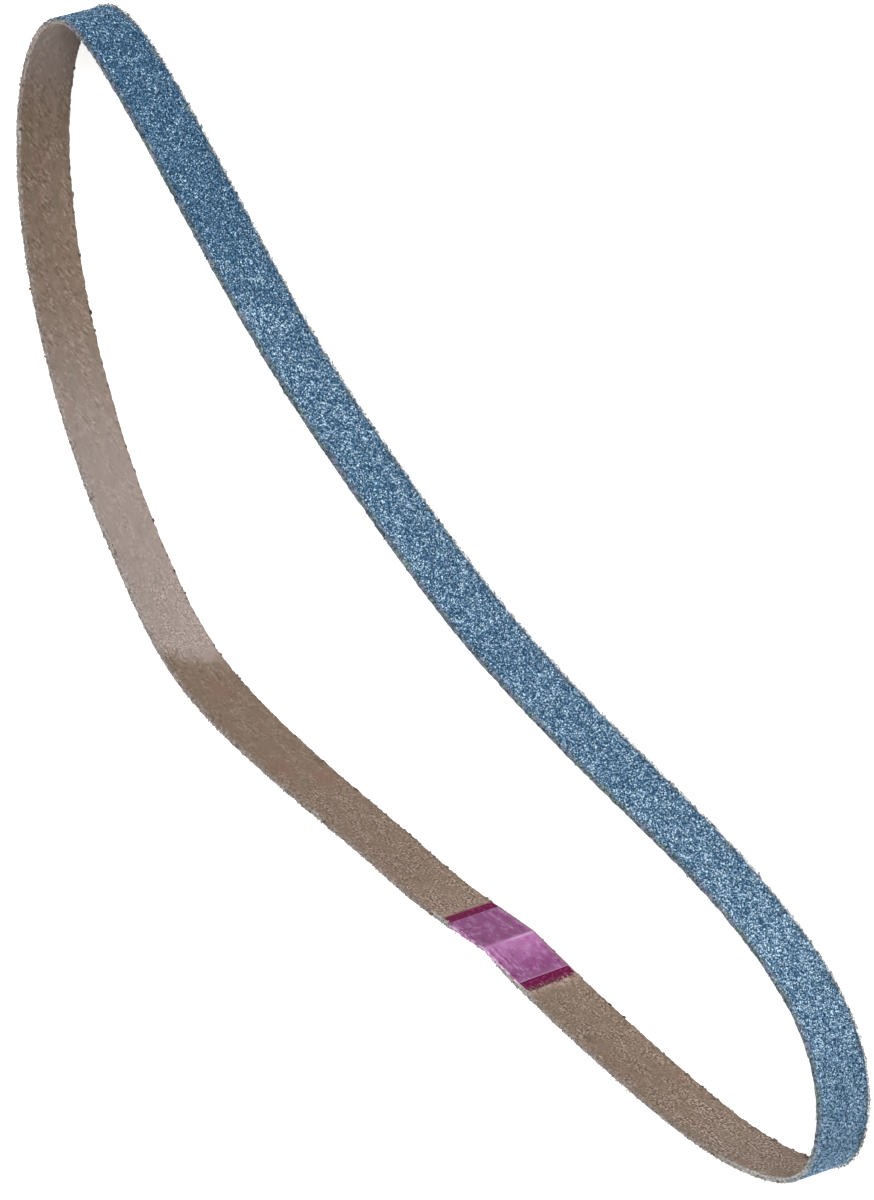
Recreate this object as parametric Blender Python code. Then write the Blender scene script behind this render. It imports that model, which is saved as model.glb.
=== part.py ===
"""Narrow sanding belt resting on its lower rim.

One strip of abrasive cloth is bent round until its two square-cut ends butt, and a thin
splice tape on the inner face holds them. Lengths are in metres, the long axis is X, up is Z.
"""
import bpy
import bmesh
import math
import numpy as np

# Belt
BELT_LENGTH = 0.457
BELT_WIDTH = 0.013
CLOTH_THICKNESS = 0.00045
COAT_THICKNESS = 0.00050
COAT_INSET = 0.00010
GRAIN_RELIEF = 0.00006
BOND_GAP = 0.00002

# Butt joint and splice tape
JOINT_GAP = 0.00030
ADHESIVE_LENGTH = 0.0180
ADHESIVE_THICKNESS = 0.00004
FILM_LENGTH = 0.0150
FILM_THICKNESS = 0.00008
ADHESIVE_SHIFT = 0.0004
FILM_SHIFT = 0.0003
EDGE_MARGIN = 0.0002

# Facets
STATION_COUNT = 300
TURN_WEIGHT = 0.010
GRAIN_CELLS = 8
PATH_SAMPLES = 4000

# Rest shape seen from above, in millimetres, counter-clockwise from the joint back to the joint.
# The third value is the outward lean of the wall in degrees.
OUTLINE = (
    (-47.0, 12.0, 0.0),
    (-54.5, 10.5, 1.0),
    (-86.0, 2.0, 1.0),
    (-101.0, -5.5, -0.5),
    (-105.0, -12.5, -0.5),
    (-93.0, -25.0, 0.0),
    (-68.5, -27.5, -0.5),
    (-52.0, -25.0, -2.5),
    (-14.5, -18.0, -3.0),
    (17.0, -16.5, -1.5),
    (50.5, -18.0, -2.0),
    (96.5, -23.5, -2.0),
    (104.0, -21.0, 0.5),
    (103.5, -14.0, 0.0),
    (86.5, 4.0, -1.0),
    (55.0, 21.0, -2.0),
    (32.0, 28.0, -3.5),
    (11.5, 29.5, -0.5),
    (-22.5, 20.5, -1.0),
    (-33.0, 17.5, -0.5),
    (-47.0, 12.0, 0.0),
)


def natural_spline(knots, values, at):
    """Natural cubic spline through values at the knots, evaluated at the parameters in at."""
    step = np.diff(knots)
    slope = np.diff(values, axis=0) / step[:, None]
    count = len(knots)
    system = np.eye(count)
    right = np.zeros_like(values)
    for i in range(1, count - 1):
        system[i, i - 1:i + 2] = (step[i - 1], 2 * (step[i - 1] + step[i]), step[i])
        right[i] = 6 * (slope[i] - slope[i - 1])
    bend = np.linalg.solve(system, right)
    k = np.clip(np.searchsorted(knots, at, side="right") - 1, 0, count - 2)
    h = step[k][:, None]
    after = (at - knots[k])[:, None]
    before = h - after
    cubic = (bend[k] * before ** 3 + bend[k + 1] * after ** 3) / (6 * h)
    linear = (values[k] / h - bend[k] * h / 6) * before + (values[k + 1] / h - bend[k + 1] * h / 6) * after
    return cubic + linear


class Loop:
    """Rest shape of the strip: position, heading and lean at any running length."""

    def __init__(self):
        points = np.array(OUTLINE)
        chord = np.linalg.norm(np.diff(points[:, :2], axis=0), axis=1)
        knots = np.concatenate(([0.0], np.cumsum(np.sqrt(chord))))
        dense = natural_spline(knots, points, np.linspace(0.0, knots[-1], PATH_SAMPLES))
        plan = dense[:, :2]
        length = np.linalg.norm(np.diff(plan, axis=0), axis=1).sum()
        plan = plan * (BELT_LENGTH / length)
        self.plan = plan - (plan.max(axis=0) + plan.min(axis=0)) / 2
        steps = np.linalg.norm(np.diff(self.plan, axis=0), axis=1)
        self.run = np.concatenate(([0.0], np.cumsum(steps)))
        tangent = np.gradient(self.plan, self.run, axis=0)
        self.heading = np.unwrap(np.arctan2(tangent[:, 1], tangent[:, 0]))
        self.lean = np.radians(dense[:, 2])

    def stations(self):
        """Running lengths spread by distance plus turn, so tight bends get more of them."""
        turn = np.abs(np.diff(self.heading, prepend=self.heading[0]))
        measure = self.run + TURN_WEIGHT * np.cumsum(turn)
        return np.interp(np.linspace(0.0, measure[-1], STATION_COUNT), measure, self.run)

    def fold(self):
        """Change of heading across the butt joint."""
        jump = self.heading[0] - self.heading[-1]
        return (jump + math.pi) % (2 * math.pi) - math.pi

    def frame(self, s):
        """Position, outward normal and lean slope; the joint itself gets the mitre of its two ends."""
        at_joint = abs(s) < 1e-9 or abs(s - BELT_LENGTH) < 1e-9
        wrapped = s % BELT_LENGTH
        position = np.array([np.interp(wrapped, self.run, self.plan[:, i]) for i in (0, 1)])
        heading = np.interp(wrapped, self.run, self.heading)
        stretch = 1.0
        if at_joint:
            position = self.plan[0]
            heading = self.heading[0] - self.fold() / 2
            stretch = 1.0 / math.cos(self.fold() / 2)
        normal = np.array([math.sin(heading), -math.cos(heading)]) * stretch
        return position, normal, math.tan(np.interp(wrapped, self.run, self.lean))

    def point(self, s, offset, height):
        """A point at running length s, offset outward from the bond line, at a height."""
        position, normal, slope = self.frame(s)
        x, y = position + normal * (offset + (height - BELT_WIDTH / 2) * slope)
        return (x, y, height)


def split_panel(low_start, high_start, low_end, high_end):
    """Two triangles of a wall panel, always cut from the low start to the high end."""
    return [(low_start, high_start, high_end), (low_start, high_end, low_end)]


def sweep_section(stations, section):
    """Closed body: section(i, s) gives the ring of points at station i.

    Layers that lie on each other cut their panels along the same diagonal, so a twist of the
    wall does not push one layer's facets through the next.
    """
    rings = [section(i, s) for i, s in enumerate(stations)]
    size = len(rings[0])
    points = [p for ring in rings for p in ring]
    faces = []
    for i in range(len(rings) - 1):
        here = i * size
        there = here + size
        for j in range(size):
            low, high = sorted((j, (j + 1) % size), key=lambda corner: rings[i][corner][2])
            faces += split_panel(here + low, here + high, there + low, there + high)
    faces.append(tuple(range(size - 1, -1, -1)))
    last = (len(rings) - 1) * size
    faces.append(tuple(range(last, last + size)))
    return points, faces


def make_object(name, points, faces, material, sharp_angle):
    """Mesh object with outward faces, smooth between edges flatter than sharp_angle."""
    mesh = bpy.data.meshes.new(name)
    mesh.from_pydata(points, [], faces)
    work = bmesh.new()
    work.from_mesh(mesh)
    bmesh.ops.recalc_face_normals(work, faces=work.faces)
    bmesh.ops.triangulate(work, faces=[f for f in work.faces if len(f.verts) > 3])
    work.to_mesh(mesh)
    work.free()
    mesh.shade_smooth()
    mesh.set_sharp_from_angle(angle=math.radians(sharp_angle))
    mesh.materials.append(material)
    obj = bpy.data.objects.new(name, mesh)
    bpy.context.scene.collection.objects.link(obj)
    return obj


def principled(name, colour, roughness, alpha=1.0, specular=0.5):
    """Principled material with a linear base colour and no metal."""
    material = bpy.data.materials.new(name)
    material.use_nodes = True
    shader = material.node_tree.nodes["Principled BSDF"]
    shader.inputs["Base Color"].default_value = (*colour, 1.0)
    shader.inputs["Roughness"].default_value = roughness
    shader.inputs["Metallic"].default_value = 0.0
    shader.inputs["Specular IOR Level"].default_value = specular
    shader.inputs["Alpha"].default_value = alpha
    material.diffuse_color = (*colour, alpha)
    return material


def cut_strip_stations(loop):
    """Stations of the strip, cut back by half the joint gap at each end."""
    stations = loop.stations()
    stations[0] = JOINT_GAP / 2
    stations[-1] = BELT_LENGTH - JOINT_GAP / 2
    return stations


def tape_stations(loop, length, shift):
    """Stations of a layer that bridges the joint, from before it (negative) to after it."""
    start = shift - length / 2
    end = shift + length / 2
    inside = loop.stations()
    before = [s - BELT_LENGTH for s in inside if start < s - BELT_LENGTH < 0]
    after = [s for s in inside if 0 <= s < end]
    return [start] + before + after + [end]


def flat_layer(loop, inner, outer, low, high):
    """Section rule of a layer of even thickness."""
    corners = ((outer, low), (outer, high), (inner, high), (inner, low))
    return lambda i, s: [loop.point(s, offset, height) for offset, height in corners]


def build_cloth(loop):
    """Woven backing, the strip that everything else lies on."""
    section = flat_layer(loop, -CLOTH_THICKNESS, -BOND_GAP / 2, 0.0, BELT_WIDTH)
    points, faces = sweep_section(cut_strip_stations(loop), section)
    colour = (0.275, 0.218, 0.184)
    return make_object("cloth_backing", points, faces, principled("cloth", colour, 0.9, specular=0.2), 40)


def build_coat(loop):
    """Abrasive layer on the outer face, its free side broken into low grain facets."""
    stations = cut_strip_stations(loop)
    random = np.random.RandomState(7)
    lift = random.uniform(-GRAIN_RELIEF, GRAIN_RELIEF, (len(stations), GRAIN_CELLS + 1))
    slide = random.uniform(-0.3, 0.3, (len(stations), GRAIN_CELLS + 1))
    slide[[0, -1]] = 0.0
    lift[:, [0, -1]] *= 0.3
    low = COAT_INSET
    high = BELT_WIDTH - COAT_INSET
    pitch = (high - low) / GRAIN_CELLS
    spacing = np.gradient(stations)

    def section(i, s):
        ring = []
        for j in range(GRAIN_CELLS + 1):
            along = s + slide[i, j] * spacing[i] * (0 < j < GRAIN_CELLS)
            ring.append(loop.point(along, COAT_THICKNESS + lift[i, j], low + j * pitch))
        ring.append(loop.point(s, BOND_GAP / 2, high))
        ring.append(loop.point(s, BOND_GAP / 2, low))
        return ring

    points, faces = sweep_section(stations, section)
    colour = (0.120, 0.215, 0.320)
    return make_object("abrasive_coat", points, faces, principled("abrasive", colour, 0.55), 3)


def build_adhesive(loop):
    """Adhesive layer under the film, seen as a dark band past each film end."""
    outer = -CLOTH_THICKNESS - BOND_GAP
    inner = outer - ADHESIVE_THICKNESS
    section = flat_layer(loop, inner, outer, EDGE_MARGIN, BELT_WIDTH - EDGE_MARGIN)
    points, faces = sweep_section(tape_stations(loop, ADHESIVE_LENGTH, ADHESIVE_SHIFT), section)
    colour = (0.170, 0.012, 0.085)
    return make_object("splice_adhesive", points, faces, principled("adhesive", colour, 0.5), 40)


def build_film(loop):
    """Glossy splice film, folded at the joint with the strip."""
    outer = -CLOTH_THICKNESS - ADHESIVE_THICKNESS - 2 * BOND_GAP
    inner = outer - FILM_THICKNESS
    section = flat_layer(loop, inner, outer, EDGE_MARGIN, BELT_WIDTH - EDGE_MARGIN)
    points, faces = sweep_section(tape_stations(loop, FILM_LENGTH, FILM_SHIFT), section)
    colour = (0.300, 0.110, 0.255)
    return make_object("splice_film", points, faces, principled("film", colour, 0.2), 40)


def main():
    """Clear the scene and build the four layers."""
    for obj in list(bpy.data.objects):
        bpy.data.objects.remove(obj, do_unlink=True)
    loop = Loop()
    build_cloth(loop)
    build_coat(loop)
    build_adhesive(loop)
    build_film(loop)


main()
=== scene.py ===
"""Dresses the sanding belt: frayed cloth, blue grain, splice tape, white stage and camera."""
import math

import bpy
import numpy as np
from bpy.props import FloatProperty, FloatVectorProperty, IntProperty, PointerProperty
from mathutils import Matrix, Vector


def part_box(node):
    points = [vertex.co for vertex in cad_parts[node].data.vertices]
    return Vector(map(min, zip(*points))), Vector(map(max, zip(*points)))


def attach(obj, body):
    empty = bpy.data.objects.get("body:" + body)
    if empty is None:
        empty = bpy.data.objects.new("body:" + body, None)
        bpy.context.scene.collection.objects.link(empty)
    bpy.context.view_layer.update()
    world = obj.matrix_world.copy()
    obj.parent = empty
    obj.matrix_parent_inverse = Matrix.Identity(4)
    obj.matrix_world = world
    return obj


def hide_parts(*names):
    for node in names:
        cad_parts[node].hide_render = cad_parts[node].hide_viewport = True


bl_info = {
    "name": "Sanding Belt",
    "version": (1, 0, 0),
    "blender": (4, 5, 0),
    "location": "3D View > Sidebar > Sanding Belt",
    "description": "Builds a narrow sanding belt with grain, cloth, splice tape and a white stage",
    "category": "Add Mesh",
}

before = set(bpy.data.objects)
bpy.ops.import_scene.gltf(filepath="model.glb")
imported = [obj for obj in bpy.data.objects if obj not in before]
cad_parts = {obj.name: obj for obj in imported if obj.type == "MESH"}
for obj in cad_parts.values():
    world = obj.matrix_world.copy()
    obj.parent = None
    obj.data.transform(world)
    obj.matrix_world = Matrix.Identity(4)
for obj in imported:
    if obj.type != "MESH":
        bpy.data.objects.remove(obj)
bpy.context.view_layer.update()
CLOTH_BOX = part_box("cloth_backing")
BELT_WIDTH = CLOTH_BOX[1][2] - CLOTH_BOX[0][2]

# Rest shape seen from above, in millimetres, counter-clockwise from the joint back to the joint.
# The third value is the outward lean of the wall in degrees.
OUTLINE = (
    (-47.0, 12.0, 0.0),
    (-54.5, 10.5, 1.0),
    (-86.0, 2.0, 1.0),
    (-101.0, -5.5, -0.5),
    (-105.0, -12.5, -0.5),
    (-93.0, -25.0, 0.0),
    (-68.5, -27.5, -0.5),
    (-52.0, -25.0, -2.5),
    (-14.5, -18.0, -3.0),
    (17.0, -16.5, -1.5),
    (50.5, -18.0, -2.0),
    (96.5, -23.5, -2.0),
    (104.0, -21.0, 0.5),
    (103.5, -14.0, 0.0),
    (86.5, 4.0, -1.0),
    (55.0, 21.0, -2.0),
    (32.0, 28.0, -3.5),
    (11.5, 29.5, -0.5),
    (-22.5, 20.5, -1.0),
    (-33.0, 17.5, -0.5),
    (-47.0, 12.0, 0.0),
)

# Places on the belt, in millimetres of running length from the joint: where the effect starts,
# where it is full, where it starts to fade, where it ends, and its strength.
# Painted sheen: grey glare painted on the far run's inner cloth, and painted light that lifts the shaded
# inside of the turn from 268 to 302 mm.
GREY_BLOOM = ((322, 362, 386, 390.5, 1), (38, 48, 58, 64, 0.15),
              (268, 274, 290, 302, 0.9))
CLOTH_SHADE = ((387, 392, 436, 447, 1), (387, 392, 406, 420, 0.35),
               (9, 12, 30, 40, 0.6), (290, 298, 334, 350, 0.2))
CLEAR_TWILL = ((262, 272, 345, 380, 1), (395, 410, 438, 447, 0.5))
PINK_HALO = ((447.2, 448.3, 449.5, 450, 0.4), (8, 9, 9.8, 11, 0.9))
# Painted light: paler grain round the turn from 46 to 140 mm, which faces away from the key lamp. Painted
# shade: darker grain round the other turn, from 224 to 300 mm.
PALE_GRAIN = ((46, 54, 100, 140, 1.2), (58, 84, 98, 125, 1.1))
DARK_GRAIN = ((224, 246, 292, 300, 1.2),)
# Painted light: an even pale haze over the grain from 50 to 98 mm, where the turn faces away from the key
# lamp.
HAZY_GRAIN = ((50, 55, 66, 98, 1.3),)
SPECKLED = ((9, 12, 30, 40, 0.65), (32, 42, 56, 64, 1.10),
            (404, 424, 447, 448, 0.80), (372, 377, 387, 389, 0.8))
THIN_COAT = ((449.5, 451.5, 458, 459, 1), (-1, 0, 2.5, 4.5, 1))
PALE_RIM = ((48, 55, 64, 72, 1), (301.5, 302.5, 304.5, 305.5, 0.9), (421, 421.6, 422.4, 423, 0.7),
            (-1, 0, 8, 12, 0.9), (445, 448, 457, 458, 0.9))
# Painted shade: along the near run the rim is painted darker than the far run's, mottled slate, olive and
# lilac.
DIRTY_RIM = ((56, 72, 274, 286, 1),)
BLUE_RIM = ((236, 258, 282, 288, 1),)

# Spots on the cloth, in millimetres: running length, height, radius, strength.
STAINS = ((394.5, 6, 3.4, 0.8), (412, 9.5, 3, 1.1), (416, 3.6, 3.4, 1), (308, 8.5, 3, 0.5),
          (34, 2.4, 1.8, 0.8))
# Dark marks: the first, at 57.8 mm, is painted shadow in the inside corner of the turn; the others are dark
# spots on the cloth.
DIRT = ((57.8, 0.2, 1.6, 2.4), (47, 0.3, 0.9, 0.9), (39, 0.4, 0.8, 0.8), (413, 1, 1.2, 0.7),
        (21, 11, 0.9, 0.6))

# Marks of the film, in millimetres: from running length and height, to running length and height, half width,
# and strength: above zero a raised ridge with a painted highlight, below zero a hollow of painted shade.
CREASES = (
    (-6.4, 3.7, -2.0, 3.4, 0.45, 0.55),
    (-6.4, 0.9, -0.6, 0.9, 0.60, 0.45),
    (-6.2, 2.3, -0.8, 2.1, 0.45, -0.60),
    (-5.8, 2.9, -1.6, 2.8, 0.20, 0.25),
    (-2.2, 11.5, -0.3, 11.4, 0.25, -0.95),
    (-4.7, 12.6, -4.5, 10.6, 0.35, -0.60),
    (-3.9, 11.8, -3.8, 8.4, 0.40, -0.35),
    (-3.4, 13.0, -3.0, 10.6, 0.50, 0.40),
    (-6.2, 13.0, -5.0, 12.6, 0.70, 0.50),
    (-3.9, 6.1, -2.3, 8.3, 0.35, 0.22),
    (-6.3, 9.6, -5.9, 8.6, 0.50, 0.22),
    (-5.6, 7.0, -5.0, 5.4, 0.90, -0.30),
    (-1.6, 4.6, -1.0, 7.6, 1.10, -0.30),
    (0.4, 12.9, 4.2, 12.9, 0.22, -0.60),
    (0.5, 12.2, 3.6, 12.0, 0.25, 0.75),
    (0.3, 11.6, 4.6, 11.4, 0.25, -0.85),
    (0.2, 10.9, 3.6, 10.9, 0.28, 0.45),
    (4.2, 11.0, 7.4, 10.7, 0.35, 0.60),
    (4.8, 12.6, 7.4, 12.2, 0.50, -0.35),
    (1.0, 9.4, 1.8, 6.0, 1.20, 0.25),
    (6.9, 11.6, 7.1, 5.4, 0.50, -0.45),
    (4.2, 7.4, 4.3, 2.2, 0.35, -0.30),
    (5.6, 5.4, 6.8, 3.4, 0.80, -0.30),
    (1.6, 1.6, 2.8, 2.4, 0.40, 0.50),
    (2.9, 1.3, 6.9, 1.4, 0.60, -0.55),
)

# Nubs that stand out from the rims, in millimetres: running length, height, offset, length.
NUBS = ((198.0, 0.3, 0.60, 0.50), (205.0, 0.3, 0.62, 0.60), (187.0, 13.1, -0.25, 0.60),
        (215.0, 13.1, -0.30, 0.70), (306.8, 0.3, -0.60, 0.45), (310.8, 0.3, -0.60, 0.45),
        (312.4, 0.3, -0.60, 0.45), (317.6, 0.3, -0.66, 0.60), (327.2, 13.1, 0.45, 0.55),
        (334.0, 0.3, -0.60, 0.40), (337.6, 0.3, -0.58, 0.40), (341.0, 0.3, -0.58, 0.45),
        (344.6, 0.3, -0.58, 0.40), (354.2, 0.3, -0.64, 0.55), (413.0, 0.3, -0.60, 0.45),
        (420.0, 0.3, -0.65, 0.60), (432.0, 0.3, -0.60, 0.50))

# Teeth of the uneven rims: seed, pitch and depth, in metres. The coat's top rim has a depth for the
# resin, one for the grains and one for the crumbs. The skirt is the foot of the coat's free face.
CLOTH_FOOT = (3, 0.0013, 0.00020)
CLOTH_TOP = (5, 0.0014, 0.00034)
CLOTH_FLARE = (7, 0.0009, 0.00036)
CLOTH_WEAR = (9, 0.0008, 0.00020)
COAT_FOOT = (13, 0.0011, 0.00020)
COAT_TOP = (15, 0.0012, 0.00032)
COAT_TOP_GRAINS = (15, 0.0012, 0.0003)
COAT_TOP_CRUMBS = (15, 0.0012, 0.0002)
COAT_SKIRT = (19, 0.0008, 0.00020)

# Slant of the twill in radians, how far the rim's colour runs onto the cloth's faces, how far loose
# pieces keep from the slit of the joint, and the angle past which an edge is sharp.
TWILL_SLANT = 0.72
RIM_BLEND = 0.00045
SLIT_MARGIN = 0.0006
SHARP_ANGLE = math.radians(50.0)

# Share of the painted sheen where it is full, and the tone that the weave swings about.
BLOOM_SHARE = 0.36
MIDDLE_TONE = 0.485

# Stage, in metres: each lamp's name, place and power in watts, and the lamps' side; the floor's half
# side, level and white, and the distances between which its glow rises; last the camera's sensor, in
# millimetres.
LAMPS = (("key_lamp", (0.75, -1.0, 0.95), 24.5), ("fill_lamp", (-1.0, -0.7, 0.9), 14.0),
         ("back_lamp", (-0.1, 1.1, 1.0), 18.0))
LAMP_SIDE = 0.9
FLOOR_HALF = 6.0
FLOOR_LEVEL = -0.00005
FLOOR_WHITE = (0.80, 0.80, 0.80)
FLOOR_FADE = (0.4, 1.6)
SENSOR_HEIGHT = 36.0


# Sizes and colours

def length_setting(name, description, default, least=0.0001):
    """A length in metres."""
    return FloatProperty(name=name, description=description, default=default, min=least, unit="LENGTH")


def count_setting(name, description, default):
    """A number of like things."""
    return IntProperty(name=name, description=description, default=default, min=0)


def colour_setting(name, what, default):
    """A colour, as linear values, and what it is the colour of."""
    return FloatVectorProperty(
        name=name, description="Colour of " + what, default=default, subtype="COLOR", min=0.0, max=1.0)


class BeltSizes(bpy.types.PropertyGroup):
    """Sizes of the belt, in metres."""

    length: length_setting("Running length", "Length of the strip round the loop", 0.457, 0.1)
    cloth: length_setting("Cloth thickness", "Thickness of the woven backing", 0.00045)
    coat: length_setting("Coat thickness", "Mean thickness of the abrasive layer", 0.00050)
    joint_gap: length_setting("Joint gap", "Slit between the two butted ends", 0.00030, 0.00005)
    grain: length_setting("Grain size", "Mean width of one abrasive grain", 0.00031)
    grain_pitch: length_setting("Grain pitch", "Mean distance from one grain to the next", 0.00023)
    rim_grains: count_setting("Rim grains", "Grains seen in the section of the coat on the upper rim", 8000)
    thread: length_setting("Thread thickness", "Thickness of a frayed thread at the rim", 0.00009, 0.00001)
    thread_count: count_setting("Thread count", "Frayed threads along both rims", 2800)
    fibre_count: count_setting("Fibre count", "Loose fibres curled on the cloth's inner face", 2600)
    burr_count: count_setting("Burr count", "Lumps of torn cloth and resin along both rims", 520)
    crumb_count: count_setting("Crumb count", "Crumbs of grain, resin and lint along both rims", 9000)


class BeltColours(bpy.types.PropertyGroup):
    """Colours of the belt, as linear values."""

    grain_dark: colour_setting("Grain hollow", "the resin between grains", (0.007, 0.036, 0.078))
    grain_middle: colour_setting("Grain", "most grains", (0.136, 0.276, 0.438))
    # Painted glint: the palest grains and facets, partly the grain's own colour and partly glints painted
    # into it.
    grain_pale: colour_setting("Grain glint", "the palest grains", (0.680, 0.880, 1.000))
    # Painted light: the pale haze laid over the grain along part of the first turn.
    grain_haze: colour_setting("Grain haze", "grain that is turned towards the light", (0.280, 0.430, 0.610))
    cloth: colour_setting("Cloth", "most of the cloth", (0.215, 0.157, 0.119))
    cloth_dark: colour_setting("Cloth hollow", "the hollows between threads", (0.128, 0.090, 0.064))
    cloth_pale: colour_setting("Cloth thread", "raised and frayed threads", (0.350, 0.280, 0.230))
    # Painted sheen: the grey that stands in for glare on the cloth.
    cloth_grey: colour_setting("Cloth bloom", "the grey bloom on the worn stretch", (0.485, 0.440, 0.445))
    cloth_red: colour_setting("Cloth stain", "the reddish blotches", (0.235, 0.118, 0.090))
    cloth_olive: colour_setting("Cloth, olive", "the olive patches", (0.175, 0.150, 0.100))
    cloth_pink: colour_setting("Cloth, pink", "cloth that adhesive has crept into", (0.420, 0.290, 0.260))
    cloth_glint: colour_setting("Cloth glint", "pale knots in the coarse stretches", (0.500, 0.390, 0.340))
    # Cloth pit also paints the shadow in the inside corner of the turn.
    cloth_pit: colour_setting("Cloth pit", "pits and dirt in the cloth", (0.070, 0.052, 0.036))
    rim_dark: colour_setting("Rim, dark", "resin and dirt on the cut rim", (0.022, 0.034, 0.040))
    rim_olive: colour_setting("Rim, olive", "sized threads on the cut rim", (0.225, 0.320, 0.265))
    rim_bare: colour_setting("Rim, bare", "bare threads on the cut rim", (0.200, 0.156, 0.128))
    rim_fringe: colour_setting("Rim, coat", "the coat's cut edge where it is clean", (0.290, 0.248, 0.225))
    # Slate, olive and lilac also make the mottle of the near run's rim, which is painted darker as painted
    # shade.
    rim_slate: colour_setting("Rim, slate", "resin smeared over the cut rim", (0.090, 0.135, 0.190))
    rim_lilac: colour_setting("Rim, lilac", "rubbed resin on the cut rim", (0.310, 0.300, 0.440))
    rim_pale: colour_setting("Rim, pale", "the rim where it is rubbed", (0.380, 0.385, 0.370))
    adhesive: colour_setting("Adhesive", "the adhesive past the film ends", (0.094, 0.004, 0.034))
    adhesive_bright: colour_setting("Adhesive, thin", "thin adhesive", (0.250, 0.018, 0.115))
    film: colour_setting("Film", "the splice film", (0.164, 0.018, 0.130))
    # Painted light: the film past the fold, brighter as the fold turns it to the light.
    film_bright: colour_setting("Film past the fold", "film turned to the light", (0.340, 0.112, 0.302))
    # Pale streaks of the film, also used for the painted highlights on the creases, the fold and the cut
    # ends.
    film_pale: colour_setting("Film streak", "pale streaks in the film", (0.560, 0.330, 0.530))
    film_dust: colour_setting("Film dust", "the grey dust before the fold", (0.290, 0.190, 0.290))
    # Painted highlight: the pale colour of the film's free edge where it laps over the rim.
    film_lip: colour_setting("Film lip", "the film's free edge over the rim", (0.700, 0.600, 0.680))


# Path of the strip

def natural_spline(knots, values, at):
    """Natural cubic spline through values at the knots, evaluated at the parameters in at."""
    step = np.diff(knots)
    slope = np.diff(values, axis=0) / step[:, None]
    count = len(knots)
    system = np.eye(count)
    right = np.zeros_like(values)
    for i in range(1, count - 1):
        system[i, i - 1:i + 2] = (step[i - 1], 2 * (step[i - 1] + step[i]), step[i])
        right[i] = 6 * (slope[i] - slope[i - 1])
    bend = np.linalg.solve(system, right)
    k = np.clip(np.searchsorted(knots, at, side="right") - 1, 0, count - 2)
    h = step[k][:, None]
    after = (at - knots[k])[:, None]
    before = h - after
    cubic = (bend[k] * before ** 3 + bend[k + 1] * after ** 3) / (6 * h)
    linear = (values[k] / h - bend[k] * h / 6) * before + (values[k + 1] / h - bend[k + 1] * h / 6) * after
    return cubic + linear


class BeltPath:
    """Middle line of the belt's wall, read at any running length as whole arrays."""

    def __init__(self, length, samples=6000):
        points = np.array(OUTLINE)
        chord = np.linalg.norm(np.diff(points[:, :2], axis=0), axis=1)
        knots = np.concatenate(([0.0], np.cumsum(np.sqrt(chord))))
        dense = natural_spline(knots, points, np.linspace(0.0, knots[-1], samples))
        plan = dense[:, :2]
        plan = plan * (length / np.linalg.norm(np.diff(plan, axis=0), axis=1).sum())
        self.plan = plan - (plan.max(axis=0) + plan.min(axis=0)) / 2
        steps = np.linalg.norm(np.diff(self.plan, axis=0), axis=1)
        self.run = np.concatenate(([0.0], np.cumsum(steps)))
        self.length = self.run[-1]
        tangent = np.gradient(self.plan, self.run, axis=0)
        self.heading = np.unwrap(np.arctan2(tangent[:, 1], tangent[:, 0]))
        self.slope = np.tan(np.radians(dense[:, 2]))

    def wall(self, run, offset, height, crease=0.0):
        """Points at running lengths run, offset outward from the bond line, at heights.

        The point is the middle line's point plus the outward normal times the offset and the
        lean. Running lengths under zero lie before the joint. Within crease of the joint the
        normal turns smoothly from one end's to the other's, so a film bends over the fold.
        """
        run, offset, height = np.broadcast_arrays(run, offset, height)
        around = np.mod(run, self.length)
        x = np.interp(around, self.run, self.plan[:, 0])
        y = np.interp(around, self.run, self.plan[:, 1])
        heading = np.interp(around, self.run, self.heading)
        if crease > 0.0:
            turn = self.heading[-1] - self.heading[0]
            first = self.heading[0]
            last = first + (turn + math.pi) % (2 * math.pi) - math.pi
            share = np.clip(run / crease * 0.5 + 0.5, 0.0, 1.0)
            blended = last + (first - last) * share * share * (3 - 2 * share)
            heading = np.where(np.abs(run) < crease, blended, heading)
        slope = np.interp(around, self.run, self.slope)
        out = offset + (height - BELT_WIDTH / 2) * slope
        return np.stack((x + np.sin(heading) * out, y - np.cos(heading) * out, height), axis=-1)


def zone(run, places):
    """Sum of plateaus along the belt, each rising and falling smoothly at its two ends."""
    total = np.zeros_like(run)
    s = run * 1000.0
    for start, full, fade, end, strength in places:
        near = np.clip(np.minimum((s - start) / (full - start), (end - s) / (end - fade)), 0.0, 1.0)
        total = total + strength * near * near * (3 - 2 * near)
    return total


def strokes(run, height, lines):
    """Sum of wavy strokes with soft sides, each its strength along a line and 0 past its half width."""
    total = np.zeros_like(run)
    s = run * 1000.0
    z = height * 1000.0 + 0.22 * smooth_noise(run, height, 0.0009, 63)
    for s0, z0, s1, z1, half, strength in lines:
        length = math.hypot(s1 - s0, z1 - z0)
        along = ((s - s0) * (s1 - s0) + (z - z0) * (z1 - z0)) / length ** 2
        held = np.clip(along, 0.0, 1.0)
        away = np.hypot(s - s0 - held * (s1 - s0), z - z0 - held * (z1 - z0))
        near = np.clip(1.0 - away / half, 0.0, 1.0)
        total = total + strength * near * near * (3 - 2 * near)
    return total


def spots(run, height, places):
    """Sum of round spots with soft edges, uneven through noise."""
    total = np.zeros_like(run)
    rough = 1.0 + 0.5 * smooth_noise(run, height, 0.0008, 61)
    for along, up, radius, strength in places:
        away = np.hypot(run * 1000.0 - along, height * 1000.0 - up) * rough / radius
        total = total + strength * np.clip(1.0 - away, 0.0, 1.0)
    return total


# Meshes

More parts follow.
